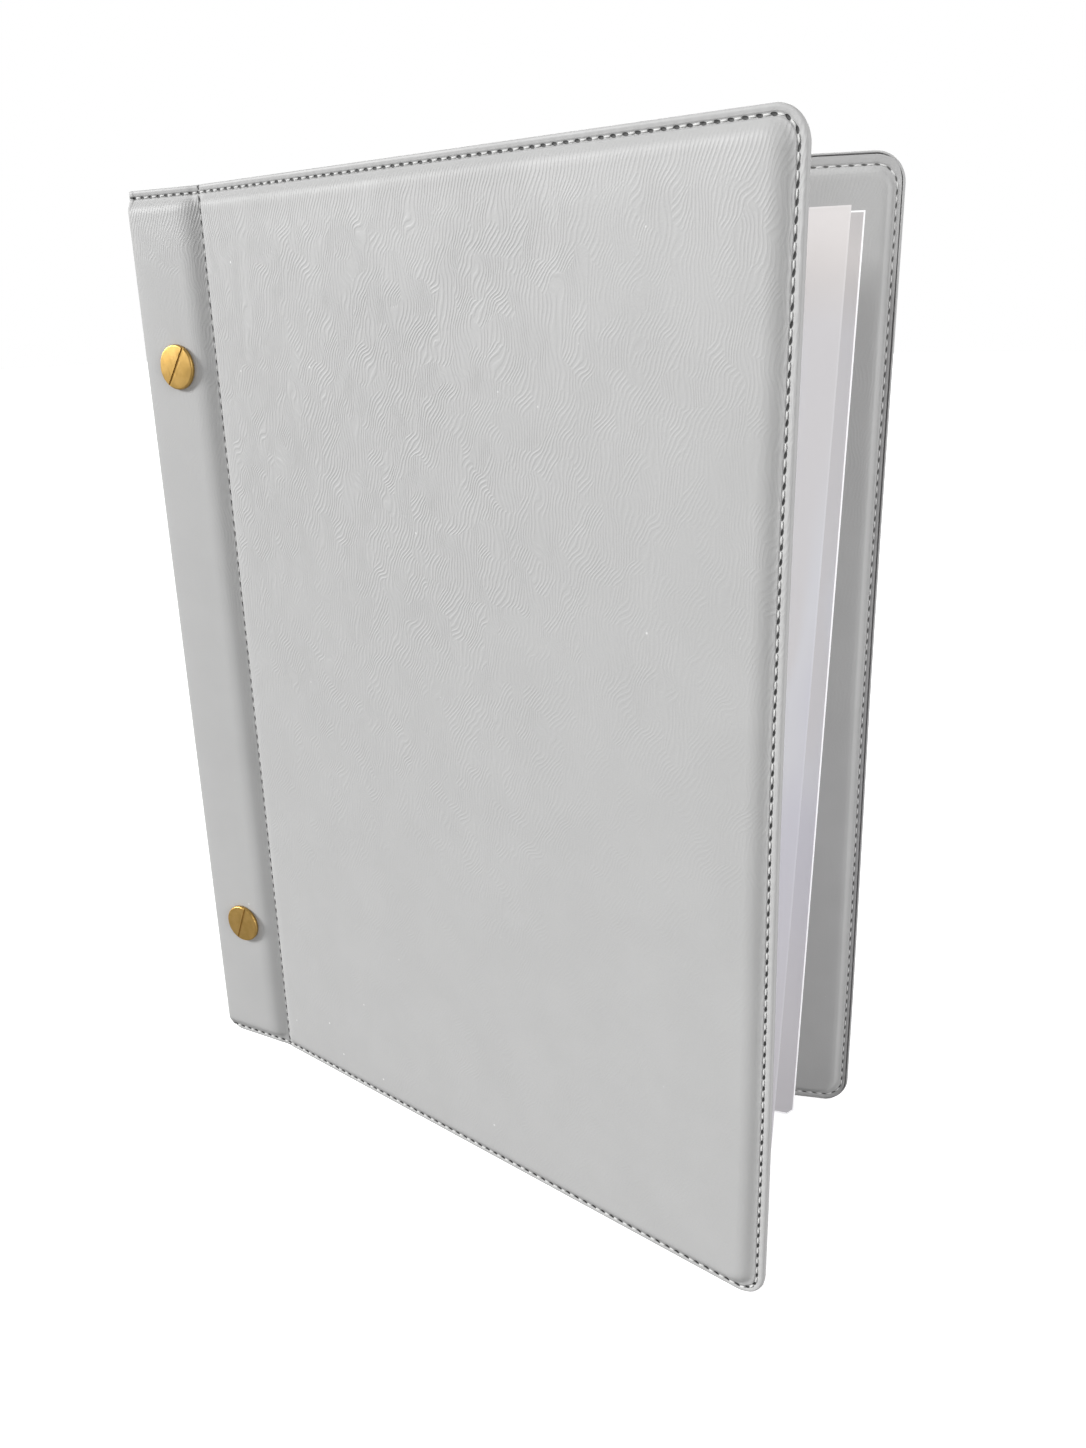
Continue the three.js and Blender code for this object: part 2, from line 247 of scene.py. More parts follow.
def seamRelief(fields):
    # soft valleys of the seams with a pucker at each needle hole
    depth = 0
    for phase, across in (fields[:2], fields[2:]):
        hole = 0.5 + 0.5 * np.cos(2 * math.pi * phase)
        pucker = hole * np.exp(-(across / stitch["puckerWidth"]) ** 2)
        valley = np.exp(-(across / stitch["valleyWidth"]) ** 2)
        depth = np.maximum(depth, stitch["puckerDepth"] * pucker + stitch["valleyDepth"] * valley)
    return depth


def layFields(bm, fields):
    for name, values in zip(("edgePhase", "edgeAcross", "groovePhase", "grooveAcross"), fields):
        layer = bm.verts.layers.float.new(name)
        for v, value in zip(bm.verts, values):
            v[layer] = value


# outer skin and lining as bent sheets with real thickness
sheet = {
    "columns": 96,
    "rows": 124,
    "foldColumns": 8,
    "foldEnd": 2.0,
    "edgeBand": 8.5,
    "skinThickness": 0.8,
    "liningThickness": 0.7,
    "edgeSlope": 3.0,
    "edgeRound": 0.45,
    "grooveSlope": 7.4,
    "panelRise": 2.8,
    "topFoot": 0.9,
    "lowFoot": 1.0,
    "freeFoot": 1.8,
    "footRadius": 6.0,
    "pillow": 0.22,
    "pillowWidth": 14.0,
    "stripMiddle": 11.0,
    "stripPillowWidth": 7.5,
    "liningStripX": 28.9,
    "liningSlopes": (1.5, 1.6, 1.8),
    "liningInset": 0.6,
    "fineBand": 5.2,
    "webMiddle": 27.5,
    "webBand": 7.5,
    "seamBand": 2.6,
    "turnIn": [(0.3, 0.35), (0.1, 0.6), (-0.25, 0.75), (-0.45, 0.1)],
}


def insideField(x, h, side):
    place = covers[side]
    low, high = place["lowStitch"] + sheet["lowFoot"], place["topStitch"] + sheet["topFoot"]
    return insetDistance(x, h, low, high, place["freeStitch"] + sheet["freeFoot"], sheet["footRadius"])


def skinLevel(x, h, side):
    # the outer face's level, and the share of the full puff that the edge leaves
    inside = insideField(x, h, side)
    fromEdge = np.clip(inside / sheet["edgeSlope"], 0, 1)
    roundShare = sheet["edgeRound"]
    full = roundShare * roundRamp(inside, sheet["edgeSlope"]) + (1 - roundShare) * smoothStep(fromEdge)
    rise = cover["thickness"] - cover["flangeTop"]
    fromFoot = np.clip((cover["stripFootX"] - x) / sheet["grooveSlope"], 0, 1)
    strip = 1 - np.minimum(np.hypot(1 - fromFoot, 1 - fromEdge), 1) ** 1.35
    panel = full * smoothStep((x - cover["grooveFootX"]) / sheet["panelRise"])
    level = cover["flangeTop"] + rise * np.maximum(strip, panel)
    puffed = smoothStep(inside / sheet["pillowWidth"])
    panelPuff = puffed * smoothStep((x - cover["grooveFootX"]) / sheet["pillowWidth"])
    stripPuff = puffed * np.exp(-((x - sheet["stripMiddle"]) / sheet["stripPillowWidth"]) ** 4)
    return level + sheet["pillow"] * (panelPuff + 0.6 * stripPuff), full


def liningLevel(x, h, side):
    inside = insideField(x, h, side)
    stripSlope, panelSlope, edgeSlope = sheet["liningSlopes"]
    strip = roundRamp(sheet["liningStripX"] - x, stripSlope)
    panel = roundRamp(x - cover["grooveFootX"], panelSlope)
    return cover["flangeLow"] * (1 - roundRamp(inside, edgeSlope) * np.maximum(strip, panel))


def cornered(x, h):
    # square grid corners pushed into the cover's round ones
    radius = cover["cornerRadius"]
    right = cover["width"]
    for top in (False, True):
        u = (x - (right - radius)) / radius
        v = (h - (coverHeight - radius)) / radius if top else (radius - h) / radius
        inCorner = (u > 0) & (v > 0)
        newU = u * np.sqrt(np.maximum(1 - v * v / 2, 0))
        newV = v * np.sqrt(np.maximum(1 - u * u / 2, 0))
        x = np.where(inCorner, right - radius + newU * radius, x)
        moved = coverHeight - radius + newV * radius if top else radius - newV * radius
        h = np.where(inCorner, moved, h)
    for radius, top in ((cover["bottomSpineRadius"], False), (cover["topSpineRadius"], True)):
        near = np.clip(1 - x / radius, 0, 1)
        lift = radius - radius * np.sqrt(1 - near ** 2)
        d = coverHeight - h if top else h
        lifted = d + lift * np.clip(1 - d / (3 * radius), 0, 1)
        h = coverHeight - lifted if top else lifted
    return x, h


def foldPath(share, full):
    # from the fold's inner end, up the spine edge and over its round, to foldEnd: (x, level)
    top = cover["flangeTop"] + (cover["thickness"] - cover["flangeTop"]) * full
    radius = 0.9 + full
    end = 0.95 - 0.8 * full
    upright = top - radius - end
    arc = radius * math.pi / 2
    length = upright + arc + sheet["foldEnd"] - radius
    d = share * length
    angle = np.clip((d - upright) / radius, 0, math.pi / 2)
    x = np.where(d < upright, 0, radius - radius * np.cos(angle))
    x = np.where(d > upright + arc, radius + d - upright - arc, x)
    level = np.where(d < upright, end + d, top - radius + radius * np.sin(angle))
    return x, level


def flatGrid(left, edgeInset):
    # grid over a cover in (x, h), finer along the stitches, the groove and the spine
    bm = bmesh.new()
    bmesh.ops.create_grid(bm, x_segments=sheet["columns"], y_segments=sheet["rows"], size=0.5)
    fold = sheet["foldColumns"] / sheet["columns"]
    right = cover["width"] - edgeInset
    for v in bm.verts:
        u, t = v.co.x + 0.5, v.co.y + 0.5
        x = left + (right - left) * (u - fold) / (1 - fold) if u > fold else left - 1 + u / fold
        v.co = (x, edgeInset + t * (coverHeight - 2 * edgeInset), 0)

    def near(face, edgeBand, middle, band):
        c = face.calc_center_median()
        fromEdge = min(c.y, coverHeight - c.y, cover["width"] - c.x)
        return fromEdge < edgeBand or abs(c.x - middle) < band

    coarse = (sheet["edgeBand"], sheet["webMiddle"], sheet["webBand"])
    fine = (sheet["fineBand"], cover["grooveStitchX"], sheet["seamBand"])
    for bands in (coarse, fine):
        edges = {e for f in bm.faces if near(f, *bands) for e in f.edges}
        bmesh.ops.subdivide_edges(bm, edges=list(edges), cuts=1, use_grid_fill=True)
    return bm


def closeSheet(bm, thickness, rim):
    # gives a sheet of (x, h, level) points its underside, and a rim of (outward, downward) steps between them
    source = list(bm.faces)
    border = [e for e in bm.edges if e.is_boundary]
    outward = {}
    for e in border:
        face = e.link_faces[0].calc_center_median()
        a, b = e.verts
        across = Vector((b.co.y - a.co.y, a.co.x - b.co.x, 0))
        if across.length < 1e-9:
            across = Vector((-1, 0, 0))
        if across.dot((a.co + b.co) / 2 - face) < 0:
            across.negate()
        for v in (a, b):
            outward[v] = outward.get(v, Vector()) + across.normalized()
    copy = bmesh.ops.duplicate(bm, geom=source)
    copies = copy["geom"]
    under = [g for g in copies if isinstance(g, bmesh.types.BMVert)]
    for v in under:
        v.co.z -= thickness
    underFaces = [g for g in copies if isinstance(g, bmesh.types.BMFace)]
    bmesh.ops.reverse_faces(bm, faces=underFaces)
    underBorder = [e for f in underFaces for e in f.edges if e.is_boundary]
    for reach, fall in rim:
        grown = bmesh.ops.extrude_edge_only(bm, edges=border)["geom"]
        newVerts = [g for g in grown if isinstance(g, bmesh.types.BMVert)]
        fresh = {}
        for v in newVerts:
            old = next(e.other_vert(v) for e in v.link_edges if e.other_vert(v) not in newVerts)
            direction = outward[old].normalized()
            v.co = v.co + direction * reach
            v.co.z -= fall
            fresh[v] = outward[old]
        outward = fresh
        border = [g for g in grown if isinstance(g, bmesh.types.BMEdge) and all(v in fresh for v in g.verts)]
    bmesh.ops.bridge_loops(bm, edges=border + underBorder)


def bendSheet(bm, side):
    points = np.array([v.co for v in bm.verts])
    placed = toBook(side, points[:, 0], points[:, 1], points[:, 2])
    for v, p in zip(bm.verts, placed):
        v.co = p


def paintField(piece, name, values):
    attribute = piece.data.attributes.new(name, "FLOAT", "POINT")
    attribute.data.foreach_set("value", values.astype(np.float32))


def makeSkin(side):
    bm = flatGrid(sheet["foldEnd"], 0.0)
    points = np.array([v.co for v in bm.verts])
    x, h = points[:, 0].copy(), points[:, 1].copy()
    folded = x < sheet["foldEnd"]
    share = np.clip(x - (sheet["foldEnd"] - 1), 0, 1)
    flatX = np.maximum(x, sheet["foldEnd"] * share)
    x1, h1 = cornered(flatX, h)
    flat, full = skinLevel(x1, h1, side)
    foldX, foldLevel = foldPath(share, full)
    fields = seamField(side, x1, h1)
    x1 = np.where(folded, foldX, x1)
    level = np.where(folded, foldLevel, flat - seamRelief(fields))
    for v, px, ph, pl in zip(bm.verts, x1, h1, level):
        v.co = (px, ph, pl)
    layFields(bm, fields)
    closeSheet(bm, sheet["skinThickness"], sheet["turnIn"])
    return finishSheet(bm, side, "skin")


def makeLining(side):
    bm = flatGrid(sheet["foldEnd"], sheet["liningInset"])
    points = np.array([v.co for v in bm.verts])
    x1, h1 = cornered(points[:, 0].copy(), points[:, 1].copy())
    fields = seamField(side, x1, h1)
    level = liningLevel(x1, h1, side) + 0.6 * seamRelief(fields)
    for v, px, ph, pl in zip(bm.verts, x1, h1, level):
        v.co = (px, ph, pl)
    layFields(bm, fields)
    closeSheet(bm, -sheet["liningThickness"], [])
    return finishSheet(bm, side, "lining")


def finishSheet(bm, side, kind):
    name = side + kind.title()
    bendSheet(bm, side)
    bmesh.ops.remove_doubles(bm, verts=bm.verts, dist=0.00001)
    bmesh.ops.recalc_face_normals(bm, faces=bm.faces)
    for face in bm.faces:
        face.smooth = True
    piece = addObject(name, bm)
    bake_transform(piece)
    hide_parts(f"{side}_strip_{kind}", f"{side}_panel_{kind}")
    print(name, len(piece.data.polygons), "faces")
    return piece


skins = {side: makeSkin(side) for side in covers}
linings = {side: makeLining(side) for side in covers}
for side in covers:
    # the thin foam under each skin fills it firmly; each lining is glued flat to its board
    linings[side].data.set_sharp_from_angle(angle=math.radians(45))


def stitchMesh():
    # one rounded stitch, lying along x at the origin, in millimetres
    bm = bmesh.new()
    made = bmesh.ops.create_uvsphere(bm, u_segments=8, v_segments=6, radius=0.5)["verts"]
    bmesh.ops.rotate(bm, verts=made, matrix=Matrix.Rotation(math.pi / 2, 3, "Y"))
    size = (stitch["length"] * stitch["roundEnds"], stitch["threadWidth"], stitch["threadHeight"])
    bmesh.ops.scale(bm, verts=made, vec=size)
    for face in bm.faces:
        face.smooth = True
    mesh = bpy.data.meshes.new("stitch")
    bm.to_mesh(mesh)
    bm.free()
    return mesh


def threadPiece(name, side, seams, level, body, nodes):
    # one small rounded stitch at each place of the seam
    bm = bmesh.new()
    for sx, sh, angle in seams:
        single = oneStitch.copy()
        single.transform(Matrix.Translation((sx, sh, level)) @ Matrix.Rotation(angle, 4, "Z"))
        bm.from_mesh(single)
        bpy.data.meshes.remove(single)
    bendSheet(bm, side)
    if covers[side]["facing"] < 0:
        bmesh.ops.reverse_faces(bm, faces=bm.faces)
    piece = addObject(name, bm)
    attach(piece, body)
    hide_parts(*nodes)
    return piece


oneStitch = stitchMesh()
threads = []
for side, place in covers.items():
    seams = seamPoints(side)
    isStrip = seams[:, 0] < stitch["stripEnd"]
    levels = {
        "needle": cover["flangeTop"] - 0.5 * stitch["valleyDepth"],
        "bobbin": cover["flangeLow"] + 0.9 * stitch["valleyDepth"],
    }
    for kind, level in levels.items():
        stripName, panelName = [f"{side}{part}{kind.title()}Thread" for part in ("Strip", "Panel")]
        stripNodes = [f"{side}_strip_{kind}_thread_{end}" for end in ("bottom", "top")]
        threads.append(threadPiece(stripName, side, seams[isStrip], level, "binding", stripNodes))
        panelNodes = [f"{side}_panel_{kind}_thread"]
        threads.append(threadPiece(panelName, side, seams[~isStrip], level, place["body"], panelNodes))
print("stitches made")


# shader groups that several finishes share, and the helpers that build them

def shaderGroup(name, inputs, outputs):
    group = bpy.data.node_groups.new(name, "ShaderNodeTree")
    for label, kind, value in inputs:
        socket = group.interface.new_socket(label, in_out="INPUT", socket_type=kind)
        if value is not None:
            socket.default_value = value
    for label, kind in outputs:
        group.interface.new_socket(label, in_out="OUTPUT", socket_type=kind)
    return group, group.nodes.new("NodeGroupInput"), group.nodes.new("NodeGroupOutput")


def addNode(tree, kind, **values):
    node = tree.nodes.new(kind)
    for key, value in values.items():
        setattr(node, key, value)
    return node


def feed(tree, socket, value):
    # a number or a colour is set on the socket, and an output is linked to it
    if isinstance(value, (int, float)):
        socket.default_value = value
    elif isinstance(value, tuple):
        socket.default_value = (*value, 1.0)
    else:
        tree.links.new(value, socket)


def maths(tree, operation, *values):
    node = addNode(tree, "ShaderNodeMath", operation=operation)
    for socket, value in zip(node.inputs, values):
        feed(tree, socket, value)
    return node.outputs[0]


def times(tree, a, b):
    return maths(tree, "MULTIPLY", a, b)


def plus(tree, a, b):
    return maths(tree, "ADD", a, b)


def minus(tree, a, b):
    return maths(tree, "SUBTRACT", a, b)


def rangeMap(tree, value, low, high, toLow=0.0, toHigh=1.0):
    node = addNode(tree, "ShaderNodeMapRange", interpolation_type="SMOOTHSTEP")
    labels = ("Value", "From Min", "From Max", "To Min", "To Max")
    for label, number in zip(labels, (value, low, high, toLow, toHigh)):
        feed(tree, node.inputs[label], number)
    return node.outputs["Result"]


def noise(tree, vector, scale, detail=3.0, roughness=0.5, distortion=0.0):
    node = addNode(tree, "ShaderNodeTexNoise")
    labels = ("Vector", "Scale", "Detail", "Roughness", "Distortion")
    for label, value in zip(labels, (vector, scale, detail, roughness, distortion)):
        feed(tree, node.inputs[label], value)
    return node.outputs["Fac"]


def stretched(tree, vector, scale):
    node = addNode(tree, "ShaderNodeMapping")
    tree.links.new(vector, node.inputs["Vector"])
    node.inputs["Scale"].default_value = scale
    return node.outputs["Vector"]


def mixColor(tree, share, a, b):
    # the mix node keeps its factor at input 0 and its two colours at inputs 6 and 7
    node = addNode(tree, "ShaderNodeMix", data_type="RGBA")
    for index, value in zip((0, 6, 7), (share, a, b)):
        feed(tree, node.inputs[index], value)
    return node.outputs[2]


def makeGrainGroup():
    # fine grain of coated leather cloth, as a height in millimetres
    group, start, end = shaderGroup(
        "leatherGrain", [("Vector", "NodeSocketVector", None), ("Pebbles", "NodeSocketFloat", 1400.0)],
        [("Height", "NodeSocketFloat"), ("Mottle", "NodeSocketFloat")],
    )
    fine = noise(group, start.outputs["Vector"], start.outputs["Pebbles"], 1.0)
    group.links.new(times(group, fine, 0.03), end.inputs["Height"])
    group.links.new(noise(group, start.outputs["Vector"], 45.0, 2.0, 0.6), end.inputs["Mottle"])
    return group


def sineOf(tree, phase):
    return maths(tree, "SINE", times(tree, phase, 2 * math.pi))


# wrinkles of the leather cloth: lengths in metres, counts and noise scales per metre
wrinkle = {
    "ridges": 900.0, "swirl": 8.5, "swirlScale": 105.0, "swirlStretch": (1.0, 1.0, 0.7),
    "straightTop": (0.003, 0.018),
    "slantRidges": 780.0, "slantLean": 0.55, "slantSwirl": 6.0, "slantScale": 110.0, "crest": (-0.5, 1.0),
    "islandScale": 130.0, "islandShare": (0.47, 0.55), "islandTop": (0.008, 0.02),
    "patchScale": 26.0, "patchShare": (0.34, 0.56), "patchLeast": 0.6,
    "rise": (0.05, 0.24), "riseLeast": 0.2, "stripEnd": (-0.091, -0.086), "stripTop": (0.03, 0.01),
    "stripLeast": 0.22, "stripMost": 0.6, "freeSide": (0.0, 0.085), "freeLeast": 0.4,
    "pulledTop": (0.014, 0.0045), "pulledSide": (0.0, 0.08), "flangeTop": (0.003, 0.0045),
}


def makeRidgeGroup():
    # close wandering wrinkles, drawn straight beside the sewn upper edge, as a height in millimetres
    group, start, end = shaderGroup(
        "wanderingRidges",
        [("Vector", "NodeSocketVector", None), ("Top", "NodeSocketFloat", 0.311),
         ("Ridges", "NodeSocketFloat", wrinkle["ridges"]), ("Swirl", "NodeSocketFloat", wrinkle["swirl"]),
         ("Depth", "NodeSocketFloat", 0.04), ("Pulled", "NodeSocketFloat", 0.06)],
        [("Height", "NodeSocketFloat")],
    )
    place = start.outputs["Vector"]
    parts = addNode(group, "ShaderNodeSeparateXYZ")
    group.links.new(place, parts.inputs[0])
    across, height = parts.outputs["X"], parts.outputs["Z"]
    fromTop = minus(group, start.outputs["Top"], height)
    # upright wrinkles that wander
    free = rangeMap(group, fromTop, *wrinkle["straightTop"], 0.12, 1.0)
    wander = noise(group, stretched(group, place, wrinkle["swirlStretch"]), wrinkle["swirlScale"], 1.0)
    drift = times(group, wander, times(group, start.outputs["Swirl"], free))
    upright = plus(group, times(group, across, start.outputs["Ridges"]), drift)
    first = rangeMap(group, sineOf(group, upright), *wrinkle["crest"])
    # slanted ones in islands among them
    leaning = minus(group, across, times(group, height, wrinkle["slantLean"]))
    swerve = times(group, noise(group, place, wrinkle["slantScale"], 1.0), wrinkle["slantSwirl"])
    slanted = plus(group, times(group, leaning, wrinkle["slantRidges"]), swerve)
    second = rangeMap(group, sineOf(group, slanted), *wrinkle["crest"])
    islands = rangeMap(group, noise(group, place, wrinkle["islandScale"], 0.0), *wrinkle["islandShare"])
    islands = times(group, islands, rangeMap(group, fromTop, *wrinkle["islandTop"]))
    kept = times(group, first, minus(group, 1.0, islands))
    both = plus(group, kept, times(group, second, islands))
    # fainter lower down, on the strip and towards the free edge
    patchNoise = noise(group, place, wrinkle["patchScale"], 1.0)
    patches = rangeMap(group, patchNoise, *wrinkle["patchShare"], wrinkle["patchLeast"], 1.0)
    upper = rangeMap(group, height, *wrinkle["rise"], wrinkle["riseLeast"], 1.0)
    stripShare = rangeMap(group, across, *wrinkle["stripEnd"], wrinkle["stripLeast"], 1.0)
    topShare = rangeMap(group, fromTop, *wrinkle["stripTop"], wrinkle["stripLeast"], wrinkle["stripMost"])
    strip = maths(group, "MAXIMUM", stripShare, topShare)
    sides = times(group, strip, rangeMap(group, across, *wrinkle["freeSide"], 1.0, wrinkle["freeLeast"]))
    depth = times(group, times(group, patches, times(group, upper, sides)), start.outputs["Depth"])
    # deeper where the upper seam pulls at the leather
    eased = times(group, start.outputs["Pulled"], rangeMap(group, across, *wrinkle["pulledSide"]))
    pull = minus(group, start.outputs["Pulled"], eased)
    pulled = times(group, rangeMap(group, fromTop, *wrinkle["pulledTop"]), pull)
    inner = times(group, both, rangeMap(group, fromTop, *wrinkle["flangeTop"]))
    group.links.new(times(group, inner, plus(group, depth, pulled)), end.inputs["Height"])
    return group


# a needle hole's rim as squared distance from its middle, and the sunk line of the thread beside it
needle = {"rim": (1.4, 0.5), "line": (0.75, 0.25), "lineDepth": 0.5}


def makeSeamGroup():
    # needle holes along a seam, from the place along and across it
    group, start, end = shaderGroup(
        "sewnSeam",
        [("Phase", "NodeSocketFloat", 0.0), ("Across", "NodeSocketFloat", 9.0),
         ("Length", "NodeSocketFloat", 0.23), ("Width", "NodeSocketFloat", 0.34),
         ("Slant", "NodeSocketFloat", 0.5), ("Depth", "NodeSocketFloat", 0.3)],
        [("HoleShade", "NodeSocketFloat"), ("Height", "NodeSocketFloat")],
    )
    along = minus(group, maths(group, "FRACT", plus(group, start.outputs["Phase"], 0.5)), 0.5)
    across = plus(group, start.outputs["Across"], times(group, along, start.outputs["Slant"]))
    u = maths(group, "DIVIDE", along, start.outputs["Length"])
    v = maths(group, "DIVIDE", across, start.outputs["Width"])
    squared = plus(group, times(group, u, u), times(group, v, v))
    # the hole's footprint, where the leather paints shade into the needle hole
    hole = rangeMap(group, squared, *needle["rim"])
    group.links.new(hole, end.inputs["HoleShade"])
    line = rangeMap(group, maths(group, "ABSOLUTE", start.outputs["Across"]), *needle["line"])
    sunk = times(group, plus(group, hole, times(group, line, needle["lineDepth"])), start.outputs["Depth"])
    group.links.new(times(group, sunk, -1.0), end.inputs["Height"])
    return group


# specks: sharp dots at the middles of a few of the cells
speck = {"dot": (0.075, 0.03), "chosenOver": 0.86}


def makeSpeckGroup():
    # sparse tiny pale specks
    group, start, end = shaderGroup(
        "paleSpecks", [("Vector", "NodeSocketVector", None), ("Spacing", "NodeSocketFloat", 150.0)],
        [("Mask", "NodeSocketFloat")],
    )
    cells = addNode(group, "ShaderNodeTexVoronoi", feature="F1")
    group.links.new(start.outputs["Vector"], cells.inputs["Vector"])
    group.links.new(start.outputs["Spacing"], cells.inputs["Scale"])
    dot = rangeMap(group, cells.outputs["Distance"], *speck["dot"])
    parts = addNode(group, "ShaderNodeSeparateColor")
    group.links.new(cells.outputs["Color"], parts.inputs[0])
    chosen = maths(group, "GREATER_THAN", parts.outputs[0], speck["chosenOver"])
    group.links.new(times(group, dot, chosen), end.inputs["Mask"])
    return group


groups = {
    "grain": makeGrainGroup(),
    "ridges": makeRidgeGroup(),
    "seam": makeSeamGroup(),
    "specks": makeSpeckGroup(),
}


def newMaterial(name):
    # a fresh material, its tree, its shader and the object's own coordinates
    material = bpy.data.materials.new(name)
    material.use_nodes = True
    tree = material.node_tree
    place = addNode(tree, "ShaderNodeTexCoord").outputs["Object"]
    return material, tree, tree.nodes["Principled BSDF"], place


def placeGroup(tree, key, vector, **values):
    node = addNode(tree, "ShaderNodeGroup")
    node.node_tree = groups[key]
    if vector is not None:
        tree.links.new(vector, node.inputs["Vector"])
    for label, value in values.items():
        node.inputs[label].default_value = value
    return node


def bump(tree, shader, height, strength=1.0):
    node = addNode(tree, "ShaderNodeBump")
    node.inputs["Strength"].default_value = strength
    node.inputs["Distance"].default_value = mm
    tree.links.new(height, node.inputs["Height"])
    tree.links.new(node.outputs["Normal"], shader.inputs["Normal"])


# dark is the colour of the painted shade in the needle holes and on the groove slope
leathers = {
    "outer": {
        "base": (0.445, 0.445, 0.443), "shade": (0.43, 0.43, 0.428), "dark": (0.03, 0.03, 0.03),
        "pale": (0.86, 0.86, 0.85), "roughness": 0.5, "pebbles": 1700.0,
        "ridgeDepth": 0.085, "pulled": 0.02, "grooveShade": 0.13,
        "holeWidth": 0.36, "holeLength": 0.24, "holeDepth": 0.35, "slant": 0.5,
    },
    "lining": {
        "base": (0.47, 0.47, 0.468), "shade": (0.45, 0.45, 0.448), "dark": (0.13, 0.13, 0.127),
        "pale": (0.8, 0.8, 0.79), "roughness": 0.46, "pebbles": 1900.0,
        "ridgeDepth": 0.04, "pulled": 0.008, "grooveShade": 0.1,
        "holeWidth": 0.26, "holeLength": 0.22, "holeDepth": 0.2, "slant": 0.3,
    },
}

# what both leathers share; groove places are distances from its stitches in millimetres, and the two groove
# ranges bound the painted shade on the slope
leatherLook = {
    "mottle": (0.3, 0.7), "speckShare": 0.6, "shadedStrip": (-7.0, -3.5), "shadedPanel": (0.9, -0.6),
    "roughnessChange": 0.03, "specular": 0.28,
}


def leatherMaterial(name, look):
    material, tree, shader, place = newMaterial(name)
    grain = placeGroup(tree, "grain", place, Pebbles=look["pebbles"])
    ridges = placeGroup(tree, "ridges", place, Top=coverHeight * mm, Depth=look["ridgeDepth"],
                        Pulled=look["pulled"])
    specks = placeGroup(tree, "specks", place)
    holeShades, heights = [], []
    for seamName in ("edge", "groove"):
        seam = placeGroup(tree, "seam", None, Width=look["holeWidth"], Length=look["holeLength"],
                          Depth=look["holeDepth"], Slant=look["slant"])
        for label in ("Phase", "Across"):
            source = addNode(tree, "ShaderNodeAttribute", attribute_name=seamName + label)
            tree.links.new(source.outputs["Fac"], seam.inputs[label])
        holeShades.append(seam.outputs["HoleShade"])
        heights.append(seam.outputs["Height"])
    mottle = rangeMap(tree, grain.outputs["Mottle"], *leatherLook["mottle"])
    color = mixColor(tree, mottle, look["shade"], look["base"])
    flecked = times(tree, specks.outputs["Mask"], leatherLook["speckShare"])
    color = mixColor(tree, flecked, color, look["pale"])
    # painted shade: the slope down to the groove seam is painted a little darker, as it faces away from the
    # light
    groove = addNode(tree, "ShaderNodeAttribute", attribute_name="grooveAcross").outputs["Fac"]
    shadedStrip = rangeMap(tree, groove, *leatherLook["shadedStrip"])
    grooveShadeMask = times(tree, shadedStrip, rangeMap(tree, groove, *leatherLook["shadedPanel"]))
    color = mixColor(tree, times(tree, grooveShadeMask, look["grooveShade"]), color, look["dark"])
    # painted shade: the needle holes are painted near black
    color = mixColor(tree, maths(tree, "MAXIMUM", *holeShades), color, look["dark"])
    tree.links.new(color, shader.inputs["Base Color"])
    roughest = look["roughness"] + leatherLook["roughnessChange"]
    smoothest = look["roughness"] - leatherLook["roughnessChange"]
    rough = rangeMap(tree, grain.outputs["Mottle"], *leatherLook["mottle"], roughest, smoothest)
    tree.links.new(rough, shader.inputs["Roughness"])
    shader.inputs["Specular IOR Level"].default_value = leatherLook["specular"]
    total = plus(tree, grain.outputs["Height"], ridges.outputs["Height"])
    bump(tree, shader, plus(tree, total, maths(tree, "MINIMUM", *heights)))
    return material


threadLook = {
    "dark": (0.56, 0.56, 0.555), "light": (0.78, 0.78, 0.77),
    "twist": 1800.0, "depth": 0.05, "roughness": 0.6,
}


def threadMaterial():
    material, tree, shader, place = newMaterial("thread")
    twist = noise(tree, place, threadLook["twist"], 2.0)
    color = mixColor(tree, twist, threadLook["dark"], threadLook["light"])
    tree.links.new(color, shader.inputs["Base Color"])
    shader.inputs["Roughness"].default_value = threadLook["roughness"]
    bump(tree, shader, times(tree, twist, threadLook["depth"]))
    return material


brassLook = {
    "light": (0.54, 0.345, 0.11), "deep": (0.48, 0.3, 0.088), "roughness": (0.36, 0.5),
    "clouds": 260.0, "scratches": 2400.0, "scratchStretch": (1, 1, 0.12), "scratchDepth": 0.006,
}


def brassMaterial():
    material, tree, shader, place = newMaterial("brass")
    cloud = rangeMap(tree, noise(tree, place, brassLook["clouds"], 3.0, 0.6), 0.35, 0.65)
    tree.links.new(mixColor(tree, cloud, brassLook["deep"], brassLook["light"]), shader.inputs["Base Color"])
    shader.inputs["Metallic"].default_value = 1.0
    drawn = stretched(tree, place, brassLook["scratchStretch"])
    scratch = noise(tree, drawn, brassLook["scratches"], 2.0, 0.6)
    rough = rangeMap(tree, scratch, 0.3, 0.7, *brassLook["roughness"])
    tree.links.new(rough, shader.inputs["Roughness"])
    bump(tree, shader, times(tree, scratch, brassLook["scratchDepth"]))
    return material


# the film's colours and its painted glow, and where they change: heights in metres, shares of its slow drift
film = {
    "clear": (0.71, 0.71, 0.74), "warm": (0.67, 0.64, 0.63), "cool": (0.65, 0.645, 0.71),
    "low": (0.64, 0.62, 0.64), "edge": (0.97, 0.97, 0.98), "roughness": 0.32, "paintedGlow": 0.36,
    "driftScale": 14.0, "driftStretch": (1, 1, 0.45), "driftDepth": 0.4, "coolShare": (0.42, 0.62),
    "warmHeight": (0.25, 0.285), "warmShare": (0.6, 0.4), "warmPatches": (0.43, 0.34), "patchMost": 0.45,
    "lowHeight": (0.2, 0.02), "lowMost": 0.8, "rim": (0.55, 0.25), "edgeAlpha": 0.98,
    "dimHeight": (0.265, 0.295), "dimShare": 0.4,
}
